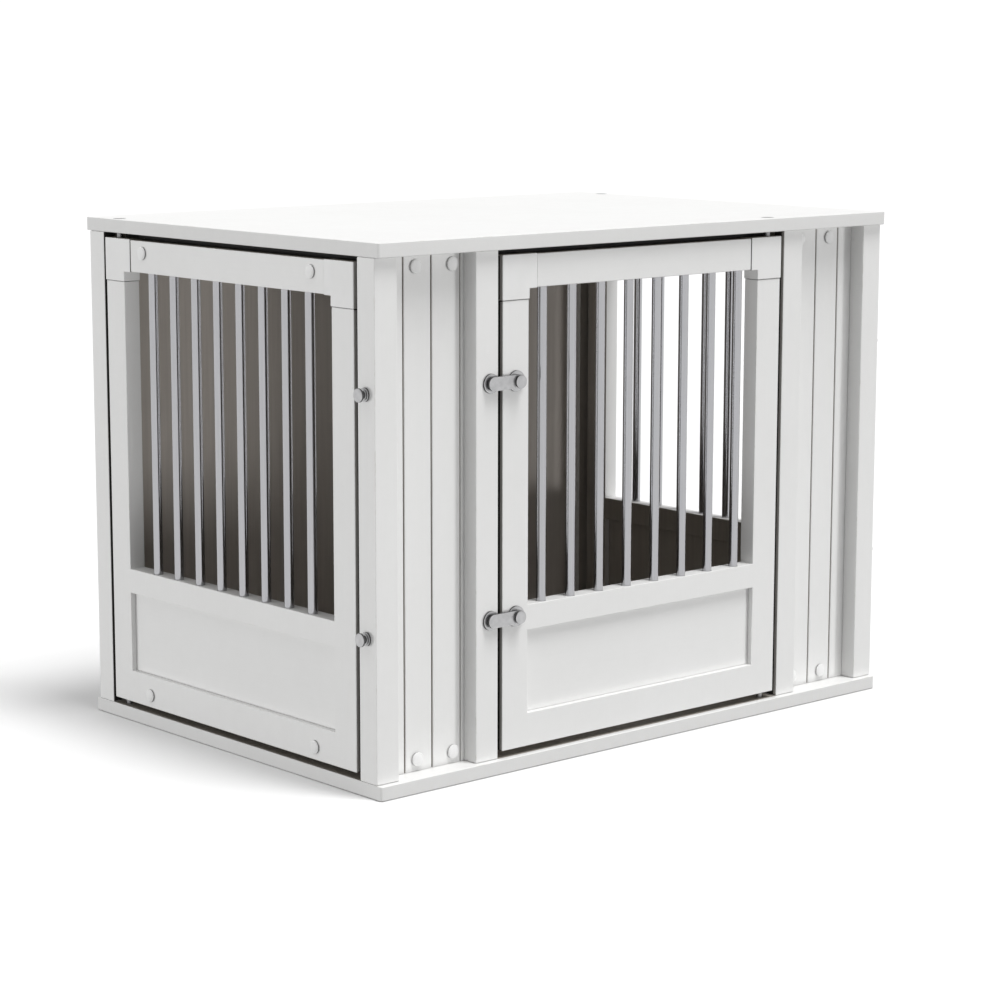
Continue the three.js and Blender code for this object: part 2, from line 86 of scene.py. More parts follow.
# ------------------------------------------------------------------ materials
class Finish:
    """A Principled material whose colour, roughness and relief come from noise in the object's own space."""

    def __init__(self, name, **fixed):
        self.mat = bpy.data.materials.new(name)
        self.mat.use_nodes = True
        self.nt = self.mat.node_tree
        self.nt.nodes.clear()
        out = self.nt.nodes.new("ShaderNodeOutputMaterial")
        self.bsdf = self.nt.nodes.new("ShaderNodeBsdfPrincipled")
        self.nt.links.new(self.bsdf.outputs[0], out.inputs[0])
        for socket, value in fixed.items():
            self.bsdf.inputs[socket.replace("_", " ")].default_value = value
        self.place = self.nt.nodes.new("ShaderNodeTexCoord").outputs["Object"]
        self.relief = None

    def node(self, kind, **settings):
        n = self.nt.nodes.new(kind)
        for k, v in settings.items():
            setattr(n, k, v)
        return n

    def link(self, a, b):
        self.nt.links.new(a, b)

    def noise(self, scale, detail=2.0, rough=0.5, stretch=None, distortion=0.0):
        n = self.node("ShaderNodeTexNoise")
        n.inputs["Scale"].default_value = scale
        n.inputs["Detail"].default_value = detail
        n.inputs["Roughness"].default_value = rough
        n.inputs["Distortion"].default_value = distortion
        if stretch:
            m = self.node("ShaderNodeMapping")
            m.inputs["Scale"].default_value = stretch
            self.link(self.place, m.inputs["Vector"])
            self.link(m.outputs[0], n.inputs["Vector"])
        else:
            self.link(self.place, n.inputs["Vector"])
        return n.outputs[0]

    def spread(self, value, low, high, to_low, to_high):
        n = self.node("ShaderNodeMapRange", clamp=True)
        for k, v in zip(("From Min", "From Max", "To Min", "To Max"), (low, high, to_low, to_high)):
            n.inputs[k].default_value = v
        self.link(value, n.inputs["Value"])
        return n.outputs[0]

    def maths(self, how, a, b):
        n = self.node("ShaderNodeMath", operation=how)
        for i, x in enumerate((a, b)):
            if isinstance(x, (int, float)):
                n.inputs[i].default_value = x
            else:
                self.link(x, n.inputs[i])
        return n.outputs[0]

    def blend(self, share, a, b):
        n = self.node("ShaderNodeMix", data_type="RGBA")
        self.link(share, n.inputs[0])
        for i, x in ((6, a), (7, b)):
            if isinstance(x, tuple):
                n.inputs[i].default_value = (*x, 1.0)
            else:
                self.link(x, n.inputs[i])
        return n.outputs[2]

    def edges(self):
        return self.node("ShaderNodeAttribute", attribute_name="edge").outputs["Fac"]

    def bump(self, height, distance, strength=1.0):
        n = self.node("ShaderNodeBump")
        n.inputs["Strength"].default_value = strength
        n.inputs["Distance"].default_value = distance
        self.link(height, n.inputs["Height"])
        if self.relief:
            self.link(self.relief, n.inputs["Normal"])
        self.relief = n.outputs[0]

    def done(self, colour=None, roughness=None):
        if colour is not None:
            self.link(colour, self.bsdf.inputs["Base Color"])
        if roughness is not None:
            self.link(roughness, self.bsdf.inputs["Roughness"])
        if self.relief:
            self.link(self.relief, self.bsdf.inputs["Normal"])
        return self.mat


def lacquer(name, light, dark, worn, rough, along, peel=0.00004):
    """Satin paint on board: slow tone drift, faint brush-out along the board, orange peel, rubbed edges."""
    f = Finish(name, Specular_IOR_Level=0.42)
    drift = f.noise(2.6, 3.0, 0.55)
    fine = f.noise(55.0, 4.0, 0.6)
    stretch = tuple(14.0 if along != a else 0.9 for a in "xyz")
    lay = f.noise(22.0, 3.0, 0.6, stretch=stretch)
    tone = f.maths("ADD", f.maths("MULTIPLY", drift, 0.6), f.maths("MULTIPLY", fine, 0.25))
    tone = f.maths("ADD", tone, f.maths("MULTIPLY", lay, 0.15))
    base = f.blend(f.spread(tone, 0.36, 0.64, 0.0, 1.0), dark, light)
    rub = f.maths("MULTIPLY", f.edges(), f.spread(f.noise(38.0, 5.0, 0.7), 0.53, 0.66, 0.0, 0.75))
    r = f.spread(tone, 0.35, 0.65, rough + 0.05, rough - 0.05)
    r = f.maths("ADD", r, f.maths("MULTIPLY", rub, 0.12))
    f.bump(lay, 0.00005, 0.5)
    f.bump(f.noise(520.0, 2.0, 0.45), peel, 0.8)
    return f.done(f.blend(rub, base, worn), r)


def light_and_shade_laminate(name, light, dark, rough):
    """Warm-grey finish with a faint upright grain. It paints the shade of the inside and of the doors' narrow edges
    and, in a lighter copy, the light on the back wall.
    """
    f = Finish(name, Specular_IOR_Level=0.35)
    grain = f.noise(9.0, 6.0, 0.62, stretch=(16.0, 16.0, 0.55), distortion=0.35)
    pores = f.noise(60.0, 3.0, 0.6, stretch=(12.0, 12.0, 0.5))
    drift = f.noise(1.8, 2.0, 0.5)
    tone = f.maths("ADD", f.maths("MULTIPLY", grain, 0.55), f.maths("MULTIPLY", drift, 0.45))
    base = f.blend(f.spread(tone, 0.38, 0.62, 0.0, 1.0), dark, light)
    rub = f.maths("MULTIPLY", f.edges(), f.spread(f.noise(45.0, 4.0, 0.7), 0.5, 0.62, 0.0, 0.5))
    worn = tuple(min(1.0, c * 1.6) for c in light)
    f.bump(pores, 0.00006, 0.6)
    f.bump(f.noise(700.0, 2.0, 0.5), 0.00003, 0.7)
    r = f.spread(pores, 0.35, 0.65, rough + 0.07, rough - 0.05)
    return f.done(f.blend(rub, base, worn), r)


def moulded(name, light, dark, rough, grain=900.0):
    """Injection-moulded plastic: fine spark texture, slight flow tone, polished edges."""
    f = Finish(name, Specular_IOR_Level=0.5)
    flow = f.noise(30.0, 2.0, 0.5, distortion=0.6)
    spark = f.noise(grain, 2.0, 0.6)
    base = f.blend(f.spread(flow, 0.35, 0.65, 0.0, 1.0), dark, light)
    r = f.spread(spark, 0.3, 0.7, rough - 0.05, rough + 0.07)
    r = f.maths("SUBTRACT", r, f.maths("MULTIPLY", f.edges(), 0.08))
    f.bump(spark, 0.000025, 0.8)
    return f.done(base, r)


def drawn_steel(name, light, dark, rough, stretch, fixed_scale=60.0, relief=0.000012):
    """Stainless tube or turned metal: fine lines the way the tool ran, and rub marks in the gloss."""
    f = Finish(name, Metallic=1.0)
    lines = f.noise(fixed_scale, 3.0, 0.6, stretch=stretch)
    smear = f.noise(14.0, 3.0, 0.55)
    base = f.blend(f.spread(lines, 0.35, 0.65, 0.0, 1.0), dark, light)
    r = f.maths("ADD", f.spread(lines, 0.3, 0.7, rough - 0.05, rough + 0.06), f.spread(smear, 0.35, 0.65, -0.03, 0.05))
    f.bump(lines, relief, 0.6)
    return f.done(base, r)


def cast_metal(name, light, dark, rough):
    """Satin, bead-blasted die-cast zinc with rubbed, brighter edges."""
    f = Finish(name, Metallic=1.0)
    grit = f.noise(1500.0, 2.0, 0.6)
    cloud = f.noise(120.0, 3.0, 0.55)
    base = f.blend(f.spread(cloud, 0.35, 0.65, 0.0, 1.0), dark, light)
    rub = f.maths("MULTIPLY", f.edges(), f.spread(f.noise(260.0, 3.0, 0.6), 0.4, 0.6, 0.2, 0.9))
    r = f.maths("SUBTRACT", f.spread(grit, 0.3, 0.7, rough - 0.05, rough + 0.08), f.maths("MULTIPLY", rub, 0.12))
    f.bump(grit, 0.00003, 0.7)
    bright = tuple(min(1.0, c * 1.25) for c in light)
    return f.done(f.blend(rub, base, bright), r)


WHITE_UP = lacquer("white_lacquer_upright", (0.815, 0.815, 0.808), (0.785, 0.784, 0.776), (0.70, 0.69, 0.665), 0.44, "z")
WHITE_X = lacquer("white_lacquer_long", (0.815, 0.815, 0.808), (0.785, 0.784, 0.776), (0.70, 0.69, 0.665), 0.44, "x")
WHITE_Y = lacquer("white_lacquer_cross", (0.815, 0.815, 0.808), (0.785, 0.784, 0.776), (0.70, 0.69, 0.665), 0.44, "y")
# painted shade: the boards' narrow edges get a darker white for the shade they are in
EDGE_WHITE_SHADE = lacquer("painted_shade_white_edge", (0.745, 0.745, 0.738), (0.715, 0.714, 0.706), (0.64, 0.63, 0.61), 0.46, "z")
# painted shade: the dark taupe on the inner faces stands in for the shade inside the cabin
PAINTED_SHADE_TAUPE = light_and_shade_laminate("painted_shade_taupe_inside", (0.410, 0.380, 0.343), (0.345, 0.318, 0.285), 0.46)
# painted shadow: near-black on the narrow faces deep in the door gaps and in the block joints stands in for the shadow
# there
PAINTED_SHADOW_BLACK = light_and_shade_laminate("painted_shadow_black_gap", (0.030, 0.028, 0.026), (0.020, 0.019, 0.018), 0.62)
# painted shade: near-black moulding that makes the gap above the doors read as shadow
STOP_SHADE_BLACK = moulded("painted_shade_black_stop", (0.030, 0.029, 0.028), (0.020, 0.019, 0.019), 0.6)
BLOCK = moulded("white_block_plastic", (0.815, 0.815, 0.81), (0.792, 0.792, 0.786), 0.42)
CAP = moulded("white_cap_plastic", (0.83, 0.83, 0.825), (0.80, 0.80, 0.795), 0.34, 1400.0)
TUBE = drawn_steel("polished_steel_tube", (0.445, 0.445, 0.46), (0.395, 0.395, 0.41), 0.13, (30.0, 30.0, 0.25), relief=0.0000005)
ZINC = cast_metal("satin_zinc", (0.50, 0.50, 0.505), (0.43, 0.43, 0.435), 0.34)
PIN = drawn_steel("turned_pin_steel", (0.34, 0.34, 0.345), (0.26, 0.26, 0.265), 0.34, (1.0, 1.0, 22.0), 80.0)


# painted light and shade: a lighter copy of the painted-shade taupe on the back panel's inside stands in for the light
# falling on the back wall
BACK = light_and_shade_laminate("painted_light_taupe_back", (0.520, 0.480, 0.440), (0.440, 0.405, 0.370), 0.46)
# painted shade: grey on the front few millimetres of the narrow faces in the door gaps stands in for white in shade
NEAR_EDGE_SHADE = light_and_shade_laminate("painted_shade_grey_edge", (0.50, 0.49, 0.465), (0.44, 0.43, 0.41), 0.46)
# painted shade: near-black zinc on the latch parts' side walls stands in for the shade on them
SHADE = cast_metal("painted_shade_zinc_side", (0.125, 0.125, 0.127), (0.09, 0.09, 0.09), 0.42)
# painted shade: dark grey on the neck under each cap's rim stands in for the shade under the rim
CAP_NECK_SHADE = moulded("painted_shade_cap_neck", (0.20, 0.20, 0.20), (0.16, 0.16, 0.16), 0.5)


# ------------------------------------------------------------------ mesh tools
def cells(ub, zb, kept, w0, w1):
    """Closed plate on a grid in (u, z), from w0 to w1; kept(i, j) says which cells are solid."""
    nu, nz = len(ub) - 1, len(zb) - 1
    on = lambda i, j: 0 <= i < nu and 0 <= j < nz and kept(i, j)
    loops = []
    for i in range(nu):
        for j in range(nz):
            if not on(i, j):
                continue
            a, b, c, d = ub[i], ub[i + 1], zb[j], zb[j + 1]
            loops.append([(a, w0, c), (b, w0, c), (b, w0, d), (a, w0, d)])
            loops.append([(a, w1, c), (a, w1, d), (b, w1, d), (b, w1, c)])
            if not on(i - 1, j):
                loops.append([(a, w0, c), (a, w0, d), (a, w1, d), (a, w1, c)])
            if not on(i + 1, j):
                loops.append([(b, w0, c), (b, w1, c), (b, w1, d), (b, w0, d)])
            if not on(i, j - 1):
                loops.append([(a, w0, c), (a, w1, c), (b, w1, c), (b, w0, c)])
            if not on(i, j + 1):
                loops.append([(a, w0, d), (b, w0, d), (b, w1, d), (a, w1, d)])
    return loops


def mesh_of(loops):
    bm = bmesh.new()
    bm.loops.layers.float.new("edge")
    seen = {}

    def vert(p):
        k = tuple(round(c, 4) for c in p)
        if k not in seen:
            seen[k] = bm.verts.new(p)
        return seen[k]

    for loop in loops:
        bm.faces.new([vert(p) for p in loop])
    bmesh.ops.recalc_face_normals(bm, faces=bm.faces)
    return bm


def block(x0, x1, y0, y1, z0, z1):
    return mesh_of(cells([x0, x1], [z0, z1], lambda i, j: True, y0, y1))


def extruded(outline, a0, a1, axis):
    """Closed prism of a flat outline; axis 'z' extrudes (x, y) up, axis 'w' extrudes (u, z) inwards."""
    put = (lambda p, a: (p[0], p[1], a)) if axis == "z" else (lambda p, a: (p[0], a, p[1]))
    n = len(outline)
    loops = [[put(p, a0) for p in outline], [put(p, a1) for p in reversed(outline)]]
    for i in range(n):
        p, q = outline[i], outline[(i + 1) % n]
        loops.append([put(p, a0), put(p, a1), put(q, a1), put(q, a0)])
    return mesh_of(loops)


def rounded(profile, radii, steps=5):
    """A turned profile with the listed corners (index: radius) rounded off."""
    out = []
    for i, p in enumerate(profile):
        r = radii.get(i)
        if not r:
            out.append(p)
            continue
        p, a, b = Vector(p), Vector(profile[i - 1]), Vector(profile[i + 1])
        da, db = (a - p).normalized(), (b - p).normalized()
        half = da.angle(db) / 2
        cut = r / math.tan(half)
        centre = p + (da + db).normalized() * (r / math.sin(half))
        s, e = p + da * cut - centre, p + db * cut - centre
        turn = s.angle_signed(e)
        for k in range(steps + 1):
            t = -turn * k / steps
            out.append((centre.x + s.x * math.cos(t) - s.y * math.sin(t), centre.y + s.x * math.sin(t) + s.y * math.cos(t)))
    return [(max(0.0, x), y) for x, y in out]


def turned(profile, sides=48, at=(0, 0, 0), axis=(0, 0, 1)):
    """Closed turned solid: profile of (radius, distance), first and last on the axis."""
    loops, rings = [], []
    for r, t in profile:
        if r < 1e-6:
            rings.append([(0.0, 0.0, t)] * sides)
        else:
            rings.append([(r * math.cos(2 * math.pi * k / sides), r * math.sin(2 * math.pi * k / sides), t) for k in range(sides)])
    for (ra, _), (rb, _), a, b in zip(profile, profile[1:], rings, rings[1:]):
        for k in range(sides):
            m = (k + 1) % sides
            if ra < 1e-6 and rb < 1e-6:
                continue
            if ra < 1e-6:
                loops.append([a[0], b[m], b[k]])
            elif rb < 1e-6:
                loops.append([a[k], a[m], b[0]])
            else:
                loops.append([a[k], a[m], b[m], b[k]])
    bm = mesh_of(loops)
    q = Vector((0, 0, 1)).rotation_difference(Vector(axis).normalized())
    bm.transform(Matrix.Translation(Vector(at)) @ q.to_matrix().to_4x4())
    return bm


def is_edge(e, least):
    return len(e.link_faces) == 2 and e.is_convex and e.calc_face_angle(0.0) > least


def ease(bm, size, segments=3, pick=None, least=0.6):
    """Rounds the picked convex edges and marks the new faces for the wear along edges."""
    edges = [e for e in bm.edges if is_edge(e, least) and (pick is None or pick(e))]
    if not edges:
        return bm
    made = bmesh.ops.bevel(bm, geom=edges, offset=size, offset_type="OFFSET", segments=segments, profile=0.5,
                           affect="EDGES", clamp_overlap=True, loop_slide=True, material=-1)
    lay = bm.loops.layers.float["edge"]
    for f in made["faces"]:
        for c in f.loops:
            c[lay] = 1.0
    return bm


def merged(*parts):
    """Several separate closed bodies as one mesh."""
    out = bmesh.new()
    out.loops.layers.float.new("edge")
    for p in parts:
        tmp = bpy.data.meshes.new("tmp")
        p.to_mesh(tmp)
        out.from_mesh(tmp)
        bpy.data.meshes.remove(tmp)
        p.free()
    return out


def cut(bm, *cutters):
    """Takes the cutters, which don't touch each other, out of the body."""
    tools = merged(*cutters)
    made = []
    for name, b in (("body", bm), ("tools", tools)):
        me = bpy.data.meshes.new(name)
        b.to_mesh(me)
        b.free()
        ob = bpy.data.objects.new(name, me)
        scene.collection.objects.link(ob)
        made.append(ob)
    body, tool = made
    mod = body.modifiers.new("cut", "BOOLEAN")
    mod.operation, mod.solver, mod.object = "DIFFERENCE", "EXACT", tool
    tool.hide_render = True
    dg = bpy.context.evaluated_depsgraph_get()
    new = bpy.data.meshes.new_from_object(body.evaluated_get(dg))
    out = bmesh.new()
    out.from_mesh(new)
    if "edge" not in out.loops.layers.float:
        out.loops.layers.float.new("edge")
    for ob in made:
        me = ob.data
        bpy.data.objects.remove(ob)
        bpy.data.meshes.remove(me)
    bpy.data.meshes.remove(new)
    return out


def on_circle(e, points, radius, axis):
    """True for an edge of a round rim of this radius about one of the points, along axis (0, 1 or 2)."""
    ax = [i for i in range(3) if i != axis]
    a, b = e.verts[0].co, e.verts[1].co
    if abs(a[axis] - b[axis]) > 1e-3:
        return False
    for p in points:
        if all(abs(math.hypot(v[ax[0]] - p[ax[0]], v[ax[1]] - p[ax[1]]) - radius) < 0.03 for v in (a, b)):
            return True
    return False


def split_face(bm, pick, planes):
    """Divides the picked flat faces along upright planes, given as (axis, place)."""
    for axis, place in planes:
        no = Vector((1, 0, 0)) if axis == 0 else Vector((0, 1, 0))
        faces = [f for f in bm.faces if pick(f)]
        geom = list({x for f in faces for x in (f, *f.edges, *f.verts)})
        bmesh.ops.bisect_plane(bm, geom=geom, dist=1e-4, plane_co=no * place, plane_no=no)


def piece(name, bm, xf, body, nodes, finishes, choose=None):
    for f in bm.faces:
        f.smooth = True
        f.material_index = choose(f) if choose else 0
    for e in bm.edges:
        if len(e.link_faces) == 2 and e.calc_face_angle(0.0) > math.radians(38):
            e.smooth = False
    bm.transform(Matrix.Scale(0.001, 4) @ xf)
    me = bpy.data.meshes.new(name)
    bm.to_mesh(me)
    bm.free()
    for m in finishes:
        me.materials.append(m)
    ob = bpy.data.objects.new(name, me)
    scene.collection.objects.link(ob)
    even = ob.modifiers.new("even shading", "WEIGHTED_NORMAL")
    even.mode, even.weight, even.keep_sharp = "FACE_AREA", 50, True
    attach(ob, body)
    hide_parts(*nodes)
    return ob


# ------------------------------------------------------------------ boards
def board_outline(r=3.0, steps=6):
    x, y, pts = FACE_X, HALF_DEPTH, []
    for cx, cy, a0 in ((x - r, -y + r, -90), (x - r, y - r, 0), (-x + r, y - r, 90), (-x + r, -y + r, 180)):
        for k in range(steps + 1):
            a = math.radians(a0 + 90 * k / steps)
            pts.append((cx + r * math.cos(a), cy + r * math.sin(a)))
    return pts


IN_X, IN_Y, IN_BACK = FACE_X - POST_X, FACE_Y - POST_Y, FACE_Y - 4 - 15


def inside_cabin(p):
    """The parts of the two boards' inner faces that lie inside the cabin or in a doorway."""
    x, y = abs(p.x), p.y
    if x < IN_X and -IN_Y < y < IN_BACK:
        return True
    if x < JAMB_IN and -FACE_Y < y <= -IN_Y:
        return True
    return IN_X <= x < FACE_X - 1.2 and abs(y) < IN_Y


SPLITS = [(0, s * v) for v in (IN_X, JAMB_IN, FACE_X - 1.2) for s in (-1, 1)] + [(1, v) for v in (-FACE_Y, -IN_Y, IN_Y, IN_BACK)]

for name, z0, z1, inner in (("top_panel", HEIGHT - BOARD_T, HEIGHT, -1), ("base_panel", 0.0, BOARD_T, 1)):
    bm = extruded(board_outline(), z0, z1, "z")
    ease(bm, 1.1, 3, lambda e: abs(e.verts[0].co.z - e.verts[1].co.z) < 1e-3)
    split_face(bm, lambda f: f.normal.z * inner > 0.99 and f.calc_area() > 500, SPLITS)
    if inner < 0:
        prof = [(0, z0 - 1), (4.3, z0 - 1), (4.3, z1 - 2.7), (8.8, z1 - 2.7), (8.8, z1 + 1), (0, z1 + 1)]
    else:
        prof = [(0, -1), (8.8, -1), (8.8, 2.7), (4.3, 2.7), (4.3, z1 + 1), (0, z1 + 1)]
    bm = cut(bm, *[turned(prof, 48, (x, y, 0)) for x, y in PIVOTS.values()])
    ease(bm, 0.25, 2, lambda e: on_circle(e, [(x, y, 0) for x, y in PIVOTS.values()], 8.8, 2))
    # painted shade: the boards' inner faces inside the cabin take the dark taupe, and their narrow edges a darker white
    piece(f"{name}_finished", bm, WORLD, "carcass", [name], [WHITE_X, PAINTED_SHADE_TAUPE, EDGE_WHITE_SHADE],
          lambda f: 1 if f.normal.z * inner > 0.99 and inside_cabin(f.calc_center_median()) else 2 if abs(f.normal.z) < 0.5 else 0)

# pivot pins with flat turned heads
PIN_LEN_UP = HEIGHT - 0.1 - (DOOR_Z1 + 1.8 - 18)
PIN_LEN_LOW = DOOR_Z0 + 18 - 1 - 0.1
for door, (x, y) in PIVOTS.items():
    for level, at, ax, length in (("upper", HEIGHT - 0.1, -1, PIN_LEN_UP), ("lower", 0.1, 1, PIN_LEN_LOW)):
        prof = rounded([(0, 0.0), (8.5, 0.0), (8.5, 2.4), (4.0, 2.4), (4.0, length), (0, length)], {1: 0.5, 2: 0.2, 4: 0.8}, 4)
        # a shallow turned ring in the head
        prof[1:1] = [(5.2, 0.0), (5.4, 0.18), (5.9, 0.18), (6.1, 0.0)]
        piece(f"{door}_pivot_{level}_finished", turned(prof, 56, (x, y, at), (0, 0, ax)), WORLD, "carcass",
              [f"{door}_pivot_{level}"], [PIN])

def under_rim(f, at):
    """Painted shade on the neck under a cap's rim: 1 there, 0 elsewhere."""
    c = f.calc_center_median()
    return 1 if 0.1 < at[1] - c.y < 1.45 and math.hypot(c.x - at[0], c.z - at[2]) > 5 else 0


def walls(axis):
    """The side walls of a latch part, which get the painted shade, darker than its faces and edges."""
    def pick(f):
        f.normal_update()
        return 1 if abs(f.normal[axis]) < 0.3 else 0
    return pick


# ------------------------------------------------------------------ uprights and flanks
# depths at which the painted shade on the narrow faces changes: grey to black, then black to taupe
SHADE_BANDS = (4.8, 17.0)


def banded(w, first=SHADE_BANDS[0]):
    """Narrow faces towards a door, in painted shade: the grey band near the outside, black in the gap's depth, dark
    taupe inside the cabin.
    """
    return 2 if first < w < SHADE_BANDS[1] else 3 if w < first else 1


for side, s in (("left", -1), ("right", 1)):
    xa, xb = sorted((s * FACE_X, s * (FACE_X - POST_X)))
    post = ease(block(xa, xb, -FACE_Y, -FACE_Y + POST_Y, Z0, Z1), 1.2, 3)
    split_face(post, lambda f: f.normal.y > 0.99, [(0, s * (FACE_X - w)) for w in SHADE_BANDS])
    spindles, slots = [], []
    for _, z in LATCH_Z:
        spindles.append(turned([(0, -1), (3.3, -1), (3.3, 16), (0, 16)], 32, (s * FACE_X, KNOB_Y, z), (-s, 0, 0)))
        t0, t1 = sorted((s * (FACE_X - 10 + 0.7), s * (FACE_X - 13 - 0.7)))
        slots.append(block(t0, t1, KNOB_Y - 5 - 2.6, -FACE_Y + POST_Y + 1, z - 5 - 2.6, z + 27 + 2))
    post = cut(cut(post, *spindles), *slots)

    # painted shade on the front post: grey and black bands on the face towards the door, dark taupe on its inner side
    def jamb_face(f, s=s):
        c, n = f.calc_center_median(), f.normal
        if n.y > 0.9:
            return banded(FACE_X - s * c.x)
        return 1 if s * n.x < -0.9 and c.y > -FACE_Y + RECESS + 2 else 0

    piece(f"corner_post_front_{side}_finished", post, WORLD, "carcass", [f"corner_post_front_{side}"],
          [WHITE_UP, PAINTED_SHADE_TAUPE, PAINTED_SHADOW_BLACK, NEAR_EDGE_SHADE], jamb_face)

    rear = ease(block(xa, xb, FACE_Y - POST_Y, FACE_Y, Z0, Z1), 1.2, 3)
    split_face(rear, lambda f: f.normal.y < -0.99, [(0, s * (FACE_X - w)) for w in SHADE_BANDS])
    # painted shade on the rear post: black on the face towards the door, then dark taupe
    piece(f"corner_post_rear_{side}_finished", rear, WORLD, "carcass", [f"corner_post_rear_{side}"],
          [WHITE_UP, PAINTED_SHADE_TAUPE, PAINTED_SHADOW_BLACK], lambda f: banded(FACE_X - s * f.calc_center_median().x, 0.0) if f.normal.y < -0.9 else 0)

    j0, j1 = sorted((s * JAMB_IN, s * JAMB_OUT))
    jamb = ease(block(j0, j1, -FACE_Y, -FACE_Y + POST_Y, Z0, Z1), 1.2, 3)
    split_face(jamb, lambda f: s * f.normal.x < -0.99, [(1, -FACE_Y + w) for w in SHADE_BANDS])
    if s < 0:
        jamb = cut(jamb, *[turned([(0, -1), (3.3, -1), (3.3, 14), (0, 14)], 32, (PIVOT_X, -FACE_Y, z), (0, 1, 0)) for _, z in LATCH_Z])
    # painted shade on the jamb: dark taupe inside, grey and black bands on the face towards the door
    piece(f"door_jamb_{side}_finished", jamb, WORLD, "carcass", [f"door_jamb_{side}"],
          [WHITE_UP, PAINTED_SHADE_TAUPE, PAINTED_SHADOW_BLACK, NEAR_EDGE_SHADE],
          lambda f: 1 if f.normal.y > 0.9 else banded(FACE_Y + f.calc_center_median().y) if s * f.normal.x < -0.9 else 0)

    y0, y1 = -FACE_Y + RECESS, -FACE_Y + RECESS + FLANK_T
    f0, f1 = JAMB_OUT + 0.3, FACE_X - POST_X - 0.3
    outline = [(f0, y1), (f0, y0)]
    for g, w, d in GROOVES:
        w /= 2
        outline += [(g - w, y0), (g - w * 0.55, y0 + 1.3), (g - w * 0.5, y0 + d), (g + w * 0.5, y0 + d), (g + w * 0.55, y0 + 1.3), (g + w, y0)]
    outline += [(f1, y0), (f1, y1)]
    panel = extruded([(s * x, y) for x, y in outline], Z0, Z1, "z")
    rim = lambda e: abs(e.verts[0].co.y - y0) < 1e-3 and abs(e.verts[1].co.y - y0) < 1e-3 and abs(e.verts[0].co.z - e.verts[1].co.z) > 1
    ease(panel, 0.45, 3, rim)
    bolts = [(level, place, s * x, z) for level, z in (("upper", 627.5), ("lower", 32.5)) for place, x in (("outer", 360.5), ("inner", 304.0))]
    panel = cut(panel, *[turned([(0, -1), (3.3, -1), (3.3, 11), (0, 11)], 32, (x, y0, z), (0, 1, 0)) for _, _, x, z in bolts])
    # painted shade: the flank's inner face and its groove walls take the dark taupe, for the shade in the cabin and in
    # the grooves
    piece(f"flank_panel_{side}_finished", panel, WORLD, "carcass", [f"flank_panel_{side}"],
          [WHITE_UP, PAINTED_SHADE_TAUPE], lambda f: 1 if f.normal.y > 0.9 or y0 + 1.35 < f.calc_center_median().y < y0 + 5 and abs(f.calc_center_median().z - 330) < 200 else 0)
    for level, place, x, z in bolts:
        cap_at = (x, y0, z)
        cap = rounded([(0, -9.4), (3.0, -9.4), (3.0, 0.15), (7.7, 0.15), (7.7, 1.5), (8.5, 1.5), (8.5, 2.3), (7.5, 3.0), (7.1, 2.8), (6.5, 3.1),
                       (4.6, 3.5), (2.4, 3.75), (0, 3.8)], {1: 0.6, 6: 0.5}, 4)
        piece(f"flank_bolt_{side}_{level}_{place}_finished", turned(cap, 56, cap_at, (0, -1, 0)), WORLD, "carcass",
              [f"flank_bolt_{side}_{level}_{place}"], [CAP, CAP_NECK_SHADE], lambda f: under_rim(f, cap_at))

back = ease(block(-FACE_X + POST_X + 0.3, FACE_X - POST_X - 0.3, IN_BACK, IN_BACK + 15, Z0, Z1), 0.9, 3)
# painted light: the back panel's inner face takes the lighter taupe
piece("back_panel_finished", back, WORLD, "carcass", ["back_panel"], [WHITE_UP, BACK],
      lambda f: 1 if f.normal.y < -0.9 else 0)

# stop moulding under the tabletop, which the doors' top edges close against; it is black as painted shade, so the gap
# over the doors reads dark
sx, bx, jx, fy, by, ey = FACE_X - 24.6, FACE_X - 33.0, JAMB_IN - 0.3, -FACE_Y + 24.6, -IN_Y + 0.3, IN_Y - 0.3
plan = [(-sx, by), (-jx, by), (-jx, fy), (205, fy), (205, by), (sx, by), (sx, 218), (bx, 218), (bx, ey), (394, ey),
        (394, -250.2), (-394, -250.2), (-394, ey), (-bx, ey), (-bx, 218), (-sx, 218)]
piece("door_stop_strip_finished", ease(extruded(plan, 627.0, Z1, "z"), 0.9, 3), WORLD, "carcass", ["door_stop_strip"],
      [STOP_SHADE_BLACK])

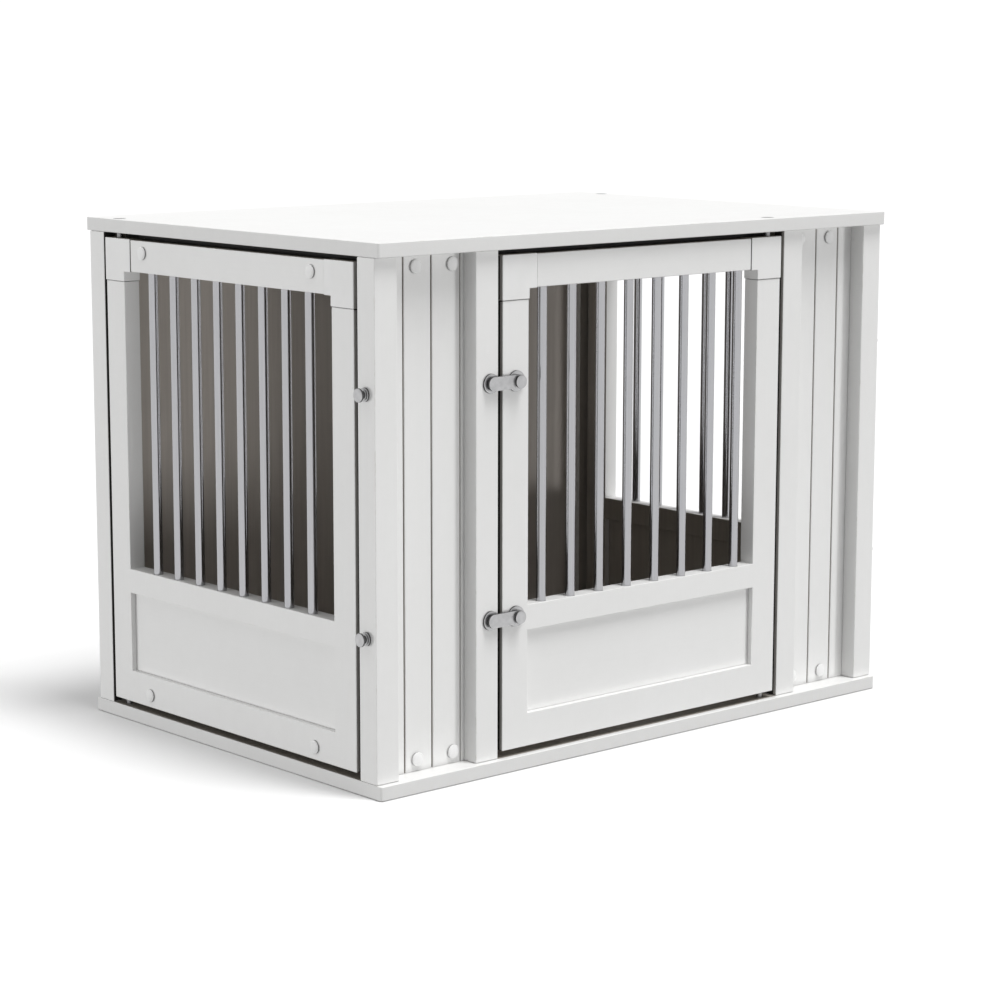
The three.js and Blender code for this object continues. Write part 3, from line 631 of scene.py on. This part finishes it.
# ------------------------------------------------------------------ latches
for level, z in LATCH_Z:
    stud = rounded([(0, -12), (3.0, -12), (3.0, 0.2), (12.0, 0.2), (12.0, 3.0), (5.0, 3.0), (4.0, 3.4), (4.0, 6.4), (0, 6.4)],
                   {1: 0.6, 4: 0.9, 7: 0.3}, 5)
    piece(f"latch_stud_{level}_finished", turned(stud, 64, (PIVOT_X, -FACE_Y, z), (0, -1, 0)), WORLD, "carcass",
          [f"latch_stud_{level}"], [ZINC, SHADE], walls(1))

    L, R, n, pts = KNOB_X - PIVOT_X, 8.5, 4.5, []
    arc = lambda cx, a0, a1, steps: [pts.append((cx + R * math.cos(a0 + (a1 - a0) * k / steps), R * math.sin(a0 + (a1 - a0) * k / steps))) for k in range(steps + 1)]
    arc(0, math.pi / 2, math.pi * 1.5, 28)
    pts += [(L - n - 1.6, -R), (L - n, 0)]
    pts += [(L - n * math.cos(math.pi * k / 18), n * math.sin(math.pi * k / 18)) for k in range(1, 18)]
    pts.append((L + n, 0))
    arc(L, -math.pi / 2 + math.asin(n / R), math.pi / 2, 24)
    link = extruded([(x, y) for x, y in pts], -8.0, -4.4, "w")
    ease(link, 0.6, 3, lambda e: abs(e.verts[0].co.y - e.verts[1].co.y) < 1e-3)
    link = cut(link, turned([(0, -6.8), (4.3, -6.8), (4.3, -3.4), (0, -3.4)], 40, (0, 0, 0), (0, 1, 0)))
    piece(f"latch_link_{level}_finished", link, Matrix.Translation((PIVOT_X, -FACE_Y, z)), f"{level}_link",
          [f"latch_link_{level}"], [ZINC, SHADE], walls(1))

for side, s in (("left", -1), ("right", 1)):
    for level, z in LATCH_Z:
        prof = rounded([(0, -15), (3.0, -15), (3.0, 0.3), (8.4, 0.3), (8.4, 2.8), (5.4, 2.8), (4.8, 3.3), (4.8, 8.4), (8.3, 8.4),
                        (8.3, 11.5), (0, 11.5)], {1: 0.5, 4: 0.8, 8: 0.5, 9: 0.9}, 5)
        knob = turned(prof, 64, (0, 0, 0), (s, 0, 0))
        t0, t1 = sorted((-s * 10.0, -s * 13.0))
        tongue = ease(block(t0, t1, -5, 27, -5, 5), 0.8, 3)
        piece(f"{side}_knob_{level}_finished", merged(knob, tongue), Matrix.Translation((s * FACE_X, KNOB_Y, z)),
              f"{side}_{level}_knob", [f"{side}_knob_{level}"], [ZINC, SHADE], walls(0))

# ------------------------------------------------------------------ doors
for side, d in DOORS.items():
    body, xf = f"{side}_door", PLACE[side]
    u0, u1, o0, o1 = d["u0"], d["u1"], d["o0"], d["o1"]
    centre = (o0 + o1) / 2
    bars = [centre + (i - 3.5) * d["pitch"] for i in range(8)]
    free = u1 if d["free"] > 0 else u0

    # frame: stiles, sill rail and bottom rail in one
    bm = mesh_of(cells([u0, o0, o1, u1], [DOOR_Z0, LOWER_Z0, LOWER_Z1, SILL_Z, BLOCK_Z0 - 0.3],
                       lambda i, j: not (i == 1 and j in (1, 3)), 0.0, DOOR_T))
    ease(bm, 1.0, 3)
    split_face(bm, lambda f: f.calc_center_median().x < u0 + 0.01 or f.calc_center_median().x > u1 - 0.01, [(1, SHADE_BANDS[0])])
    tools = [turned([(0, SILL_Z - LET_IN - 0.3), (6.3, SILL_Z - LET_IN - 0.3), (6.3, SILL_Z + 1), (0, SILL_Z + 1)], 48, (u, BAR_W, 0)) for u in bars]
    tools.append(turned([(0, DOOR_Z0 - 1), (4.3, DOOR_Z0 - 1), (4.3, DOOR_Z0 + 18), (0, DOOR_Z0 + 18)], 40, (d["hinge"], 11.5, 0)))
    tools.append(block(o0 - 6.3, o1 + 6.3, 7.0, 13.6, LOWER_Z0 - 6.3, LOWER_Z1 + 6.3))
    screws = []
    if side == "front":
        tools += [turned([(0, -1), (3.3, -1), (3.3, 14), (0, 14)], 32, (KNOB_X, 0, z), (0, 1, 0)) for _, z in LATCH_Z]
    else:
        for _, z in LATCH_Z:
            a, b = sorted((free - d["free"] * 9.5, free + d["free"]))
            tools.append(block(a, b, 10 - 0.7, 13 + 0.7, z - 6, z + 27))
        tools += [turned([(0, -1), (3.3, -1), (3.3, 14), (0, 14)], 32, (u, 0, 42), (0, 1, 0)) for u in (-175, 175)]
    bm = cut(bm, *tools)
    ease(bm, 0.35, 2, lambda e: on_circle(e, [(u, BAR_W, 0) for u in bars], 6.3, 2) and abs(e.verts[0].co.z - SILL_Z) < 1e-2)

    # painted shade on the frame: dark taupe inner face, black in the joint under the blocks and deep in the side gaps,
    # grey on the front of the outer edges
    def skin(f, u0=u0, u1=u1):
        c, n = f.calc_center_median(), f.normal
        if n.y > 0.7:
            return 1
        if n.z > 0.8 and c.z > BLOCK_Z0 - 1.2:
            return 2
        outer = c.x < u0 + 0.6 or c.x > u1 - 0.6 or c.z < DOOR_Z0 + 0.6
        return (2 if c.y > SHADE_BANDS[0] and abs(n.x) > 0.5 else 3) if outer and n.y > -0.3 and c.y > 0.8 else 0

    piece(f"{body}_frame_finished", bm, xf, body, [f"{body}_frame"], [WHITE_UP, PAINTED_SHADE_TAUPE, PAINTED_SHADOW_BLACK, NEAR_EDGE_SHADE], skin)

    # top rail
    ja, jb = u0 + BLOCK_W, u1 - BLOCK_W
    bm = ease(block(ja + 0.3, jb - 0.3, 0.0, DOOR_T, RAIL_TOP_Z0, DOOR_Z1), 1.0, 3)
    split_face(bm, lambda f: f.normal.z > 0.99, [(1, 13.0)])
    tools = [turned([(0, RAIL_TOP_Z0 - 1), (6.3, RAIL_TOP_Z0 - 1), (6.3, RAIL_TOP_Z0 + LET_IN + 0.3), (0, RAIL_TOP_Z0 + LET_IN + 0.3)], 48, (u, BAR_W, 0)) for u in bars]
    if side != "front":
        tools += [turned([(0, -1), (3.3, -1), (3.3, 14), (0, 14)], 32, (u, 0, 619.5), (0, 1, 0)) for u in (-175, 175)]
    bm = cut(bm, *tools)
    ease(bm, 0.35, 2, lambda e: on_circle(e, [(u, BAR_W, 0) for u in bars], 6.3, 2) and abs(e.verts[0].co.z - RAIL_TOP_Z0) < 1e-2)
    # painted shade on the top rail: black on its ends at the block joints and at the back of its top, dark taupe inside
    # and on the rest of its top
    piece(f"{body}_top_rail_finished", bm, xf, body, [f"{body}_top_rail"],
          [WHITE_X if side == "front" else WHITE_Y, PAINTED_SHADE_TAUPE, PAINTED_SHADOW_BLACK],
          lambda f: 2 if f.normal.z > 0.9 and f.calc_center_median().y > 13 or abs(f.normal.x) > 0.8 else
          1 if f.normal.y > 0.7 or f.normal.z > 0.7 and f.calc_center_median().y > 0.8 else 0)

    # corner blocks
    for e, o, joint, sgn in ((u0, o0, ja, -1), (u1, o1, jb, 1)):
        hinge_side = (d["hinge"] > 0) == (sgn > 0)
        if sgn < 0:
            ub, hole = [e - 0.8, o + 0.8, joint], (1, 0)
        else:
            ub, hole = [joint, o - 0.8, e + 0.8], (0, 0)
        bm = mesh_of(cells(ub, [BLOCK_Z0, RAIL_TOP_Z0 - 0.8, DOOR_Z1 + 0.8], lambda i, j: (i, j) != hole, -1.0, DOOR_T + 1.0))
        ease(bm, 1.1, 3)
        split_face(bm, lambda f: sgn * (f.calc_center_median().x - e) > 0.79 and abs(f.normal.x) > 0.99, [(1, SHADE_BANDS[0])])
        split_face(bm, lambda f: f.normal.z > 0.99 and f.calc_center_median().z > DOOR_Z1, [(1, 13.0)])
        if hinge_side:
            bm = cut(bm, turned([(0, 617.8), (4.3, 617.8), (4.3, 637), (0, 637)], 40, (d["hinge"], 11.5, 0)))
        label = "hinge_side" if hinge_side else "latch_side"
        node = f"{body}_corner_{label}"
        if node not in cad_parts:
            node = f"{body}_top_rail"

        # painted shade on a corner block: dark taupe inside, black in the joints and deep in the gap, grey on the front
        # of the outer edge
        def rim(f, out=e + sgn * 0.8, sgn=sgn, joint=joint):
            c, n = f.calc_center_median(), f.normal
            if n.y > 0.7:
                return 1
            if -sgn * n.x > 0.8 and sgn * (joint - c.x) > -0.6 or n.z < -0.8 and c.z < BLOCK_Z0 + 0.6:
                return 2
            if n.z > 0.7:
                return 2 if c.y > 13 else 1 if c.y > 0.2 else 0
            if sgn * n.x > 0.7:
                return 2 if c.y > SHADE_BANDS[0] and sgn * (c.x - out) > -0.05 else 3 if c.y > 0.2 else 0
            return 0

        piece(f"{body}_corner_{label}_finished", bm, xf, body, [node], [BLOCK, PAINTED_SHADE_TAUPE, PAINTED_SHADOW_BLACK, NEAR_EDGE_SHADE], rim)

    # lower panel in the frame's groove
    bm = ease(block(o0 - 6, o1 + 6, 7.3, 13.3, LOWER_Z0 - 6, LOWER_Z1 + 6), 0.6, 2)
    # painted shade: the lower panel's inner face takes the dark taupe
    piece(f"{body}_lower_panel_finished", bm, xf, body, [f"{body}_lower_panel"],
          [WHITE_X if side == "front" else WHITE_Y, PAINTED_SHADE_TAUPE], lambda f: 1 if f.normal.y > 0.7 else 0)

    # bars
    tube = rounded([(0, SILL_Z - LET_IN), (BAR_R, SILL_Z - LET_IN), (BAR_R, RAIL_TOP_Z0 + LET_IN), (0, RAIL_TOP_Z0 + LET_IN)], {1: 0.8, 2: 0.8}, 4)
    piece(f"{body}_bars_finished", merged(*[turned(tube, 56, (u, BAR_W, 0)) for u in bars]), xf, body, [f"{body}_bars"],
          [TUBE])

    if side == "front":
        for level, z in LATCH_Z:
            prof = rounded([(0, -12), (3.0, -12), (3.0, 0.2), (13.0, 0.2), (13.0, 3.0), (5.0, 3.0), (4.0, 3.4), (4.0, 8.4), (8.3, 8.4),
                            (8.3, 11.5), (0, 11.5)], {1: 0.6, 4: 0.9, 8: 0.5, 9: 0.9}, 5)
            piece(f"front_door_latch_knob_{level}_finished", turned(prof, 64, (KNOB_X, 0, z), (0, -1, 0)), xf, body,
                  [f"front_door_latch_knob_{level}"], [ZINC, SHADE], walls(1))
    else:
        names = (("rear", -175), ("front", 175)) if side == "left" else (("front", -175), ("rear", 175))
        for level, z in (("upper", 619.5), ("lower", 42.0)):
            for place, u in names:
                cap = rounded([(0, -12), (3.0, -12), (3.0, 0.15), (7.7, 0.15), (7.7, 1.5), (8.5, 1.5), (8.5, 2.3), (7.5, 3.0), (7.1, 2.8), (6.5, 3.1),
                               (4.6, 3.5), (2.4, 3.75), (0, 3.8)], {1: 0.6, 6: 0.5}, 4)
                piece(f"{body}_screw_{level}_{place}_finished", turned(cap, 56, (u, 0, z), (0, -1, 0)), xf, body,
                      [f"{body}_screw_{level}_{place}"], [CAP, CAP_NECK_SHADE], lambda f: under_rim(f, (u, 0, z)))

# ------------------------------------------------------------------ floor and light
def ground(name, z, low, high):
    bm = bmesh.new()
    bmesh.ops.create_circle(bm, cap_ends=True, radius=60.0, segments=96)
    me = bpy.data.meshes.new(name)
    bm.to_mesh(me)
    bm.free()
    ob = bpy.data.objects.new(name, me)
    ob.location = (0, 0, z)
    scene.collection.objects.link(ob)
    pale = Finish(name, Specular_IOR_Level=0.2)
    me.materials.append(pale.done(pale.blend(pale.noise(0.8, 2.0, 0.5), (low,) * 3, (high,) * 3),
                                  pale.spread(pale.noise(3.0, 2.0, 0.5), 0.3, 0.7, 0.7, 0.85)))
    return ob


# the floor that is seen, and under it a duller one that the diffuse light bounces off
floor = ground("floor", -0.0006, 0.89, 0.91)
floor.visible_diffuse = floor.visible_shadow = False
under = ground("floor_bounce", -0.0010, 0.24, 0.26)
under.visible_camera = under.visible_glossy = False

world = bpy.data.worlds.new("studio")
scene.world = world
world.use_nodes = True
wn = world.node_tree
wn.nodes.clear()
w_out = wn.nodes.new("ShaderNodeOutputWorld")
w_mix = wn.nodes.new("ShaderNodeMixShader")
w_path = wn.nodes.new("ShaderNodeLightPath")
w_light = wn.nodes.new("ShaderNodeBackground")
w_seen = wn.nodes.new("ShaderNodeBackground")
w_gloss = wn.nodes.new("ShaderNodeBackground")
w_mix2 = wn.nodes.new("ShaderNodeMixShader")
w_light.inputs[0].default_value = (1.0, 1.0, 1.0, 1.0)
w_light.inputs[1].default_value = 0.18
w_gloss.inputs[0].default_value = (1.0, 1.0, 1.0, 1.0)
w_gloss.inputs[1].default_value = 0.80
w_seen.inputs[0].default_value = (1.0, 1.0, 1.0, 1.0)
w_seen.inputs[1].default_value = 1.05
wn.links.new(w_path.outputs["Is Camera Ray"], w_mix.inputs[0])
wn.links.new(w_path.outputs["Is Glossy Ray"], w_mix2.inputs[0])
wn.links.new(w_light.outputs[0], w_mix2.inputs[1])
wn.links.new(w_gloss.outputs[0], w_mix2.inputs[2])
wn.links.new(w_mix2.outputs[0], w_mix.inputs[1])
wn.links.new(w_seen.outputs[0], w_mix.inputs[2])
wn.links.new(w_mix.outputs[0], w_out.inputs[0])


# the low lamps shine over the floor's edge, so the floor doesn't block them
unblocked = bpy.data.collections.new("unblocked")
unblocked.objects.link(under)
unblocked.collection_objects[0].light_linking.link_state = "EXCLUDE"


def lamp(name, strength, azimuth, elevation, spread, over_floor=False):
    """A soft far lamp. Azimuth 0 is straight in front, 90 on the right; strength is in units of a white wall's brightness."""
    data = bpy.data.lights.new(name, "SUN")
    data.energy, data.angle = strength * math.pi, math.radians(spread)
    ob = bpy.data.objects.new(name, data)
    a, e = math.radians(azimuth), math.radians(elevation)
    towards = Vector((math.sin(a) * math.cos(e), -math.cos(a) * math.cos(e), math.sin(e)))
    ob.location = towards * 4
    ob.rotation_euler = (-towards).to_track_quat("-Z", "Y").to_euler()
    scene.collection.objects.link(ob)
    ob.visible_glossy = False
    if over_floor:
        ob.light_linking.blocker_collection = unblocked
    return ob


lamp("overhead", 0.40, 0, 90, 90)
lamp("overhead_front", 0.455, 20, 75, 16)
lamp("high_front", 0.24, 20, 62, 16)
lamp("low_right_front", 0.34, 34, -6.5, 12, over_floor=True)
lamp("low_front", 0.08, 10, -5, 40, over_floor=True)
lamp("low_left_rear", 0.33, -116, -5, 14, over_floor=True)
lamp("low_left", 0.17, -90, -7, 8, over_floor=True)

scene.view_settings.view_transform = "Standard"
scene.view_settings.look = "None"
scene.view_settings.exposure = 0.0
scene.view_settings.gamma = 1.0
